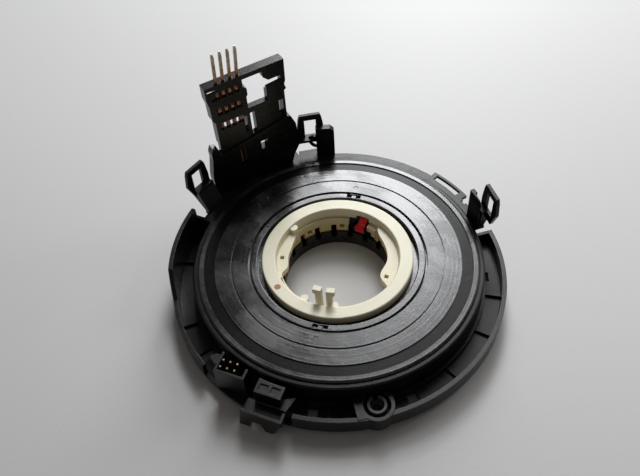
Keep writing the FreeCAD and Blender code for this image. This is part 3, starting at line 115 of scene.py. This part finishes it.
class Finish:
    """One procedural material. Its x, y, z and place are in millimetres, in the part's frame."""

    def __init__(self, name):
        self.material = bpy.data.materials.new(name)
        self.material.use_nodes = True
        self.tree = self.material.node_tree
        self.shader = self.tree.nodes["Principled BSDF"]
        where = self.node("ShaderNodeTexCoord").outputs["Object"]
        in_mm = self.node("ShaderNodeVectorMath", {"operation": "SCALE"},
                          {0: where, "Scale": 1 / MM})
        self.place = in_mm.outputs["Vector"]
        parts = self.node("ShaderNodeSeparateXYZ", {}, {"Vector": self.place})
        self.x, self.y, self.z = (Amount(self, parts.outputs[axis]) for axis in "XYZ")

    def node(self, kind, settings=None, inputs=None):
        """A node of a kind, with its settings made first and then its sockets' values or links."""
        made = self.tree.nodes.new(kind)
        for key, value in (settings or {}).items():
            setattr(made, key, value)
        self.feed(made, inputs or {})
        return made

    def feed(self, made, inputs):
        """Gives a node's sockets their links or values."""
        for key, value in inputs.items():
            if isinstance(value, Amount):
                value = value.socket
            if isinstance(value, bpy.types.NodeSocket):
                self.tree.links.new(value, made.inputs[key])
            else:
                made.inputs[key].default_value = value

    def maths(self, operation, *terms):
        """A Math node's result for one or two numbers or amounts."""
        made = self.node("ShaderNodeMath", {"operation": operation}, dict(enumerate(terms)))
        return Amount(self, made.outputs[0])

    def rise(self, amount, low, high):
        """0 at low and 1 at high, with a smooth step between; high may be the smaller one."""
        made = self.node("ShaderNodeMapRange", {"interpolation_type": "SMOOTHSTEP"},
                         {"Value": amount, "From Min": low, "From Max": high})
        return Amount(self, made.outputs["Result"])

    def within(self, amount, low, high, soft):
        """1 between low and high, fading out over soft at both ends."""
        return self.rise(amount, low - soft, low) * self.rise(amount, high + soft, high)

    def vector(self, x, y, z):
        """A vector made of three amounts or numbers."""
        return self.node("ShaderNodeCombineXYZ", {}, {"X": x, "Y": y, "Z": z}).outputs["Vector"]

    def noise(self, scale, detail=3.0, rough=0.5, place=None, stretch=(1.0, 1.0, 1.0), turn=0.0):
        """Noise with features 1 / scale millimetres wide, stretched along the turned axes."""
        mapped = self.node("ShaderNodeMapping", {"vector_type": "TEXTURE"}, {
            "Vector": self.place if place is None else place,
            "Rotation": (0.0, 0.0, turn), "Scale": stretch})
        made = self.node("ShaderNodeTexNoise", {}, {
            "Vector": mapped.outputs["Vector"], "Scale": scale, "Detail": detail,
            "Roughness": rough})
        return Amount(self, made.outputs["Fac"])

    def radius(self):
        """The distance from the bore's axis."""
        return self.maths("SQRT", self.x * self.x + self.y * self.y)

    def azimuth(self):
        """The angle about the bore's axis, in radians."""
        return self.maths("ARCTAN2", self.y, self.x)

    def spot(self, x, y, size, soft):
        """1 round a place on the plan, up to soft times the size, and 0 from the size on."""
        across = self.x - x
        along = self.y - y
        return self.rise(self.maths("SQRT", across * across + along * along), size, size * soft)

    def upward(self):
        """1 where the surface faces up, 0 on walls."""
        normal = self.node("ShaderNodeNewGeometry").outputs["Normal"]
        parts = self.node("ShaderNodeSeparateXYZ", {}, {"Vector": normal})
        return self.rise(Amount(self, parts.outputs["Z"]), 0.5, 0.95)

    def blend(self, factor, first, second):
        """A colour between two colours."""
        made = self.node("ShaderNodeMix", {"data_type": "RGBA"},
                         {0: factor, 6: first, 7: second})
        return made.outputs[2]

    def rounded_normal(self, radius_mm):
        """The surface's normal with its edges rounded to a radius."""
        made = self.node("ShaderNodeBevel", {"samples": 4}, {"Radius": radius_mm * MM})
        return made.outputs["Normal"]

    def worn_edges(self):
        """1 on sharp edges: where the rounded normal leaves the true one."""
        rounded = self.rounded_normal(EDGE_WEAR)
        true = self.node("ShaderNodeNewGeometry").outputs["Normal"]
        together = self.node("ShaderNodeVectorMath", {"operation": "DOT_PRODUCT"},
                             {0: rounded, 1: true})
        return self.rise(1.0 - Amount(self, together.outputs["Value"]), 0.04, 0.18)

    def set(self, colour, roughness, height, strength, round_mm=0.0, shader=None, **fixed):
        """Joins the varying values to a shader and sets the fixed ones on its own sockets.

        The height gives the bump, of a strength. Where round_mm is stated, edges look rounded.
        """
        shader = shader or self.shader
        bump = {"Strength": strength, "Distance": MM, "Height": height}
        if round_mm:
            bump["Normal"] = self.rounded_normal(round_mm)
        normal = self.node("ShaderNodeBump", {}, bump).outputs["Normal"]
        self.feed(shader, {"Base Color": colour, "Roughness": roughness, "Normal": normal})
        for key, value in fixed.items():
            shader.inputs[FIXED_SOCKETS[key]].default_value = value
        return self.material

    def cover_with(self, factor):
        """A second shader, laid over the first where the factor is 1."""
        second = self.node("ShaderNodeBsdfPrincipled")
        both = self.node("ShaderNodeMixShader", {}, {
            0: factor, 1: self.shader.outputs["BSDF"], 2: second.outputs["BSDF"]})
        output = self.tree.nodes["Material Output"]
        self.tree.links.new(both.outputs["Shader"], output.inputs["Surface"])
        return second


def rgb(red, green, blue):
    """A colour with full alpha."""
    return (red, green, blue, 1.0)


def disc_finish():
    """Glossy black disc: wiped smudges, fine circular scratches, smudges painted greyer on the left
    side as painted sheen, and a matt band near the rim.
    """
    coat = Finish("glossy_disc")
    radius = coat.radius()
    rings = coat.vector(radius, coat.azimuth() * 2.0, 0.0)
    clouds = coat.noise(0.05, 4.0, 0.6)
    wiped = coat.noise(0.20, 5.0, 0.65, stretch=(1.0, 5.0, 1.0), turn=math.radians(50))
    circles = coat.noise(1.3, 3.0, 0.7, place=rings, stretch=(1.0, 9.0, 1.0))
    fine = coat.noise(2.5, 2.0, 0.6)
    smudge = coat.rise(clouds * 0.55 + wiped * 0.45, 0.44, 0.62)
    haze = coat.rise(circles, 0.52, 0.78)
    # Painted sheen: smudges on the left side of the disc are painted greyer, where its reflection is
    # dark.
    left_sheen_side = coat.rise(coat.x, 10.0, -34.0)
    specks = coat.rise(coat.noise(1.1, 2.0, 0.5), 0.70, 0.76)
    clean = rgb(0.006, 0.006, 0.007)
    wiped_grey = rgb(0.034, 0.034, 0.036)
    left_smudge_and_sheen = rgb(0.070, 0.069, 0.067)
    speck_grey = rgb(0.16, 0.16, 0.155)
    colour = coat.blend(smudge * 0.55 + haze * 0.30, clean, wiped_grey)
    # Smudge patches painted greyer on the left side: painted sheen.
    colour = coat.blend(left_sheen_side * coat.rise(clouds, 0.35, 0.7) * 0.6, colour, left_smudge_and_sheen)
    colour = coat.blend(specks * 0.5, colour, speck_grey)
    for x, y in EJECTOR_MARKS:
        rim = coat.spot(x, y, MARK_RADIUS, 0.85) - coat.spot(x, y, MARK_RADIUS * 0.8, 0.85)
        colour = coat.blend(rim * 0.5, colour, rgb(0.10, 0.10, 0.10))
    for x, y in SUNK_MARKS:
        sunk = coat.spot(x, y, MARK_RADIUS, 0.8)
        colour = coat.blend(sunk * 0.7, colour, rgb(0.003, 0.003, 0.003))
    roughness = 0.17 + smudge * 0.12 + haze * 0.10
    height = circles * 0.25 + fine * 0.15 + wiped * 0.25 + clouds * 0.9
    coat.set(colour, roughness, height, 0.13, 0.12, ior=1.54)
    band = coat.within(radius, BAND_INNER, BAND_OUTER, 0.10) * coat.upward()
    matt = coat.cover_with(band)
    band_black = rgb(0.0035, 0.0035, 0.0038)
    band_grey = rgb(0.007, 0.007, 0.0072)
    band_colour = coat.blend(coat.rise(clouds, 0.45, 0.7), band_black, band_grey)
    band_roughness = 0.20 + clouds * 0.08 + circles * 0.05
    return coat.set(band_colour, band_roughness, fine + circles, 0.05, shader=matt, ior=1.45,
                 specular_level=0.15)


def moulded_finish(name, dark, pale, roughness, edge_mm, dust=0.16, edge=0.14, sheen=0.5,
                   relief=0.08):
    """Satin moulded plastic: even grain, flow clouds, rubbed patches, pale edges, a little dust."""
    coat = Finish(name)
    clouds = coat.noise(0.07, 4.0, 0.6)
    fine = coat.noise(2.2, 3.0, 0.6)
    specks = coat.rise(coat.noise(0.9, 2.0, 0.5), 0.68, 0.75)
    rubbed = coat.rise(coat.noise(0.25, 5.0, 0.7), 0.50, 0.75)
    settled = coat.upward() * coat.rise(coat.noise(0.16, 4.0, 0.65), 0.42, 0.70)
    worn_grey = rgb(0.16, 0.16, 0.16)
    dust_grey = rgb(0.22, 0.215, 0.20)
    colour = coat.blend(rubbed * 0.5 + clouds * 0.2, dark, pale)
    colour = coat.blend(coat.worn_edges() * edge, colour, worn_grey)
    colour = coat.blend((specks * 0.6 + settled * 0.5) * dust, colour, dust_grey)
    rough = roughness + rubbed * 0.10 + fine * 0.06 - clouds * 0.05
    return coat.set(colour, rough, fine * 0.4 + clouds * 0.6, relief, edge_mm, ior=1.5,
                 specular_level=sheen)


def ivory_finish():
    """Ivory nylon: pale on the flange, with painted shade that makes it yellower and darker down the
    throat, and a brown mark.
    """
    coat = Finish("ivory_nylon")
    # Painted shade: from the face down the throat, the nylon is painted darker and yellower.
    depth = coat.rise(coat.z, FACE_HEIGHT + 0.4, FACE_HEIGHT - THROAT_DEPTH)
    clouds = coat.noise(0.12, 3.0, 0.5)
    fine = coat.noise(1.6, 2.0, 0.5)
    grime = coat.rise(coat.noise(0.45, 4.0, 0.65), 0.56, 0.74)
    flange = rgb(0.79, 0.755, 0.575)
    throat = rgb(0.66, 0.52, 0.24)
    colour = coat.blend(depth, flange, throat)
    colour = coat.blend(clouds * 0.2, colour, rgb(0.78, 0.75, 0.60))
    # The grime is real, but laying it thicker down the throat is painted shade.
    colour = coat.blend(grime * (0.10 + depth * 0.25), colour, rgb(0.42, 0.33, 0.18))
    on_face = coat.rise(coat.z, FACE_HEIGHT, FACE_HEIGHT + 0.5)
    mark = coat.spot(*BROWN_MARK, BROWN_MARK_RADIUS, 0.8) * on_face
    colour = coat.blend(mark * coat.rise(fine, 0.28, 0.42), colour, rgb(0.34, 0.075, 0.015))
    return coat.set(colour, 0.36 + clouds * 0.12, fine * 0.4 + clouds, 0.1, 0.25, ior=1.53,
                 subsurface_weight=0.12, subsurface_scale=0.002)


def pin_finish():
    """Brass blades: pale gold at the tip, tarnished to copper and brown towards the foot."""
    coat = Finish("contact_brass")
    depth = coat.rise(coat.z, PIN_TIP_HEIGHT - BRIGHT_TIP_LENGTH, PIN_FOOT_HEIGHT)
    streaks = coat.noise(0.8, 3.0, 0.6, stretch=(1.0, 1.0, 6.0))
    stains = coat.rise(coat.noise(0.5, 4.0, 0.6), 0.42, 0.62)
    colour = coat.blend(depth, rgb(0.60, 0.53, 0.44), rgb(0.50, 0.26, 0.15))
    colour = coat.blend(stains * 0.55, colour, rgb(0.26, 0.15, 0.08))
    return coat.set(colour, 0.30 + streaks * 0.2, streaks, 0.1, 0.08, metallic=1.0)


def header_pin_finish():
    """Dull brown pins whose tips are painted lighter and golden as a painted highlight."""
    coat = Finish("header_brass")
    tip = coat.rise(coat.z, HEADER_TIP_FOOT, HEADER_TIP_HEIGHT)
    stains = coat.rise(coat.noise(0.9, 3.0, 0.6), 0.4, 0.6)
    # Painted highlight: the top millimetre of each pin is painted lighter and golden.
    colour = coat.blend(tip, rgb(0.16, 0.11, 0.06), rgb(0.27, 0.21, 0.13))
    colour = coat.blend(stains * 0.4, colour, rgb(0.14, 0.10, 0.06))
    return coat.set(colour, 0.36 + stains * 0.1, stains, 0.05, 0.08, metallic=1.0)


def copper_finish():
    """Copper contact tips: pink where they are rubbed bright, brown beside that."""
    coat = Finish("contact_copper")
    stains = coat.rise(coat.noise(0.9, 3.0, 0.6), 0.42, 0.62)
    colour = coat.blend(stains, rgb(0.80, 0.44, 0.33), rgb(0.38, 0.18, 0.11))
    return coat.set(colour, 0.32 + stains * 0.2, stains, 0.08, metallic=1.0)


def red_finish():
    """Saturated red plastic, a little rubbed."""
    coat = Finish("red_plastic")
    clouds = coat.noise(0.6, 3.0, 0.5)
    colour = coat.blend(clouds * 0.5, rgb(0.84, 0.012, 0.026), rgb(0.62, 0.008, 0.016))
    return coat.set(colour, 0.20 + clouds * 0.12, clouds, 0.08, 0.2, ior=1.5)


def film_finish(name, colour, other, roughness):
    """Plastic film, faintly clouded."""
    coat = Finish(name)
    clouds = coat.noise(0.15, 3.0, 0.5)
    return coat.set(coat.blend(clouds, colour, other), roughness + clouds * 0.1, clouds, 0.05)


def bush_finish():
    """Dull grey rolled bush, scratched along its turning."""
    coat = Finish("grey_bush")
    streaks = coat.noise(0.6, 3.0, 0.6, stretch=(1.0, 1.0, 4.0))
    grime = coat.rise(coat.noise(0.8, 3.0, 0.6), 0.5, 0.7)
    colour = coat.blend(streaks, rgb(0.045, 0.046, 0.045), rgb(0.095, 0.097, 0.095))
    colour = coat.blend(grime * 0.5, colour, rgb(0.04, 0.04, 0.04))
    return coat.set(colour, 0.42 + streaks * 0.15, streaks, 0.1, 0.15, ior=1.5)


def floor_finish():
    """Pale card, faintly uneven, with painted shade that darkens it towards the near left, where the
    light falls off.
    """
    coat = Finish("pale_card")
    clouds = coat.noise(0.006, 3.0, 0.5)
    fibre = coat.noise(0.8, 2.0, 0.5)
    # Painted shade: the card is painted darker towards the near left, where the light falls off.
    painted_falloff_shade = coat.rise(coat.x * 0.6 + coat.y, 60.0, -230.0)
    colour = coat.blend(clouds, rgb(0.625, 0.625, 0.625), rgb(0.655, 0.655, 0.655))
    colour = coat.blend(painted_falloff_shade * 0.75, colour, rgb(0.54, 0.54, 0.545))
    return coat.set(colour, 0.55 + fibre * 0.1, fibre, 0.03)


def make_mesh(name, points, faces, finish):
    """A mesh object at the origin from whole arrays of points, in millimetres, and faces."""
    mesh = bpy.data.meshes.new(name)
    mesh.from_pydata((points * MM).tolist(), [], faces.tolist())
    mesh.update()
    mesh.materials.append(finish)
    made = bpy.data.objects.new(name, mesh)
    bpy.context.scene.collection.objects.link(made)
    return made


def grid_faces(rows, columns, offset=0, around=False):
    """Quads of a grid of rows by columns points; around closes each row on itself."""
    wide = columns if around else columns - 1
    row, column = np.meshgrid(np.arange(rows - 1), np.arange(wide), indexing="ij")
    beside = (column + 1) % columns
    first = row * columns + column
    second = row * columns + beside
    quads = np.stack([first, second, second + columns, first + columns], axis=-1)
    return quads.reshape(-1, 4) + offset


def facing(azimuth, across, outward, height):
    """Points in the part's frame from a place's own across, outward and height.

    Outward runs from the bore's axis at the azimuth, and across runs to its right.
    """
    turn = math.radians(azimuth)
    x = outward * math.cos(turn) + across * math.sin(turn)
    y = outward * math.sin(turn) - across * math.cos(turn)
    return np.stack(np.broadcast_arrays(x, y, height), axis=-1)


def contact_tips():
    """The contacts' sprung tips, one in each opening of the tower.

    Each is a tube, 1.24 mm wide and 2.9 mm high, open at its ends and carried up a bow: at the share
    t of its height, its middle lies nearer the bore's axis than the terminal's face, by half its
    thickness and by the bulge times the squared sine of pi times t. Its section is an ellipse whose
    sine and cosine are raised to the power 0.5, which squares it off. Towards both ends it narrows
    with the cube of 2 t - 1.
    """
    steps = 17
    around = 12
    half_width = 0.62
    half_thick = 0.12
    half_height = 1.45
    bulge = 0.75
    narrowing = 0.35
    share = np.linspace(0.0, 1.0, steps)[:, None]
    turn = np.linspace(0.0, 2 * np.pi, around, endpoint=False)[None, :]
    squared_cos = np.sign(np.cos(turn)) * np.abs(np.cos(turn)) ** 0.5
    squared_sin = np.sign(np.sin(turn)) * np.abs(np.sin(turn)) ** 0.5
    taper = 1.0 - narrowing * np.abs(2 * share - 1) ** 3
    middle = TERMINAL_FACE - half_thick - bulge * np.sin(np.pi * share) ** 2
    outward = middle + half_thick * squared_sin
    points = []
    faces = []
    for row_height in CONTACT_ROWS:
        for across in TERMINAL_PLACES:
            offset = len(points) * steps * around
            side = across + half_width * taper * squared_cos
            height = row_height + half_height * (2 * share - 1)
            points.append(facing(TOWER_AZIMUTH, side, outward, height).reshape(-1, 3))
            faces.append(grid_faces(steps, around, offset, around=True))
    made = make_mesh("contact_tips", np.concatenate(points), np.concatenate(faces),
                     copper_finish())
    made.data.polygons.foreach_set("use_smooth", np.ones(len(made.data.polygons), bool))
    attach(made, "stator")


def dress(material, *names):
    """Gives CAD nodes a material."""
    for name in names:
        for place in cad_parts[name].material_slots:
            place.material = material


def dress_mouldings():
    """The black mouldings, each kind with its own depth of black, gloss, wear and dust."""
    drum_black = moulded_finish(
        "drum_black", rgb(0.003, 0.003, 0.0035), rgb(0.010, 0.010, 0.011),
        roughness=0.30, edge_mm=0.2, dust=0.08, edge=0.08, sheen=0.22)
    dress(drum_black, "drum")
    carrier_black = moulded_finish(
        "carrier_black", rgb(0.003, 0.003, 0.0035), rgb(0.012, 0.012, 0.013),
        roughness=0.32, edge_mm=0.2, dust=0.07, sheen=0.26)
    dress(carrier_black, "carrier", "snap_loop_left", "snap_loop_rear", "snap_loop_right",
          "rear_eye", "guard_post_rear", "guard_post_right")
    shroud_black = moulded_finish(
        "shroud_black", rgb(0.004, 0.004, 0.0045), rgb(0.015, 0.015, 0.016),
        roughness=0.28, edge_mm=0.25, dust=0.09, sheen=0.40)
    dress(shroud_black, "outer_shroud")
    connector_black = moulded_finish(
        "connector_black", rgb(0.004, 0.004, 0.0045), rgb(0.015, 0.015, 0.016),
        roughness=0.30, edge_mm=0.2, dust=0.10, sheen=0.40)
    dress(connector_black, "header_shell", "connector_cover", "fork_bracket")
    tower_black = moulded_finish(
        "tower_black", rgb(0.0025, 0.0023, 0.002), rgb(0.009, 0.008, 0.0075),
        roughness=0.26, edge_mm=0.2, dust=0.06, sheen=0.36, relief=0.04)
    dress(tower_black, "contact_tower", "lead_block")
    rotor_black = moulded_finish(
        "rotor_black", rgb(0.006, 0.006, 0.006), rgb(0.020, 0.020, 0.020),
        roughness=0.28, edge_mm=0.2)
    dress(rotor_black, "rotor", "inner_block", "wheel_socket")


def dress_all():
    """Every CAD node gets its finish."""
    dress(disc_finish(), "face_cover", "bearing_ring")
    dress_mouldings()
    dress(ivory_finish(), "hub_sleeve")
    dress(red_finish(), "lock_tab")
    dress(pin_finish(), "terminal_1", "terminal_2", "terminal_3", "terminal_4")
    dress(header_pin_finish(), "header_pins", "wheel_pins")
    dress(bush_finish(), "boss_bush")
    cable_film = film_finish("cable_film", rgb(0.60, 0.32, 0.15), rgb(0.72, 0.42, 0.22), 0.25)
    dress(cable_film, "flat_cable")
    slip_film = film_finish("slip_film", rgb(0.78, 0.78, 0.76), rgb(0.70, 0.70, 0.68), 0.3)
    dress(slip_film, "lower_film", "upper_film")


def make_floor():
    """The floor: a sheet just under the part, whose height swells by the product of two sines."""
    along = np.linspace(-FLOOR_HALF, FLOOR_HALF, FLOOR_STEPS)
    x, y = np.meshgrid(along, along)
    swell = np.sin(x / FLOOR_WAVES[0]) * np.sin(y / FLOOR_WAVES[1])
    z = -FLOOR_DEPTH + FLOOR_SWELL * swell
    points = np.stack([x, y, z], axis=-1).reshape(-1, 3)
    make_mesh("floor", points, grid_faces(FLOOR_STEPS, FLOOR_STEPS), floor_finish())


def make_lamp(name, place_mm, size_mm, radiance, colour):
    """A soft box that faces the disc; its power is pi times its area times its radiance."""
    data = bpy.data.lights.new(name, "AREA")
    data.shape = "RECTANGLE"
    data.size = size_mm[0] * MM
    data.size_y = size_mm[1] * MM
    data.energy = math.pi * data.size * data.size_y * radiance
    data.color = colour
    lamp = bpy.data.objects.new(name, data)
    bpy.context.scene.collection.objects.link(lamp)
    place = np.array(place_mm) * MM
    ahead = np.array((0.0, 0.0, FACE_HEIGHT)) * MM - place
    back = -ahead / np.linalg.norm(ahead)
    side = np.cross((0.0, 1.0, 0.0), back)
    side /= np.linalg.norm(side)
    matrix = np.eye(4)
    matrix[:3, 0] = side
    matrix[:3, 1] = np.cross(back, side)
    matrix[:3, 2] = back
    matrix[:3, 3] = place
    lamp.matrix_world = Matrix(matrix.tolist())


def make_light():
    """Soft studio light: two boxes behind, dim ones above and to the right, an even surround."""
    make_lamp("window_box", place_mm=(88.0, 634.0, 650.0), size_mm=(262.0, 310.0),
              radiance=17.0, colour=(0.97, 0.985, 1.0))
    make_lamp("low_box", place_mm=(220.0, 860.0, 400.0), size_mm=(340.0, 380.0),
              radiance=10.0, colour=(0.98, 0.99, 1.0))
    make_lamp("ceiling_box", place_mm=(150.0, 325.0, 656.0), size_mm=(360.0, 230.0),
              radiance=2.8, colour=(0.97, 0.98, 1.0))
    make_lamp("side_box", place_mm=(640.0, 330.0, 460.0), size_mm=(300.0, 300.0),
              radiance=4.0, colour=(1.0, 1.0, 1.0))
    world = bpy.data.worlds.new("studio")
    bpy.context.scene.world = world
    world.use_nodes = True
    surround = world.node_tree.nodes["Background"]
    surround.inputs["Color"].default_value = rgb(1.0, 0.93, 0.86)
    surround.inputs["Strength"].default_value = 0.12


def make_camera():
    """The camera, at the photograph's angle and distance."""
    data = bpy.data.cameras.new("camera")
    data.sensor_width = SENSOR_WIDTH
    data.lens = CAMERA_LENS
    data.clip_start = CLIP_START * MM
    data.clip_end = CLIP_END * MM
    camera = bpy.data.objects.new("camera", data)
    bpy.context.scene.collection.objects.link(camera)
    place = Matrix.Translation([value * MM for value in CAMERA_PLACE])
    tilt = Matrix.Rotation(math.radians(CAMERA_TILT), 4, "X")
    roll = Matrix.Rotation(math.radians(-CAMERA_ROLL), 4, "Z")
    camera.matrix_world = place @ tilt @ roll
    bpy.context.scene.camera = camera


dress_all()
contact_tips()
make_floor()
make_light()
make_camera()
bpy.context.scene.view_settings.view_transform = "Standard"
